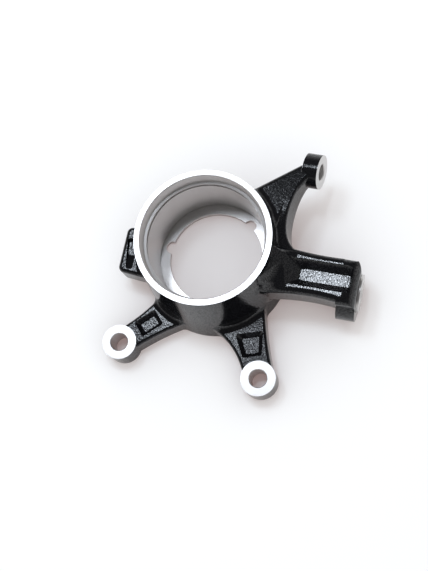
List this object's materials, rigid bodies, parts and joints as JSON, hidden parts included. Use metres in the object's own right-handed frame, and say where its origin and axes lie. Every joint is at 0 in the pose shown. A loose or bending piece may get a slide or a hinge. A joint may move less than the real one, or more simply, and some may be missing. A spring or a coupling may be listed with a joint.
{
  "type": "steering knuckle",
  "caption": "Steering knuckle with a wheel bearing bore, caliper ears, a long ball joint arm, a lower lug and a steering arm with a tie rod eye.",
  "frame": {"origin": "on the wheel axis, halfway along the wheel bearing seat", "axes": "+Z is the wheel axis, outboard; +X is the side of the long ball joint arm; +Y is the side of the steering arm"},
  "size_m": [0.1685, 0.1658, 0.0573],
  "materials": {
    "knuckle": "satin black paint on the cast skin, bright machined bore, rim, ear faces, eye and joint pad"
  },
  "bodies": {
    "root": {"knuckle": "knuckle"}
  },
  "joints": []
}
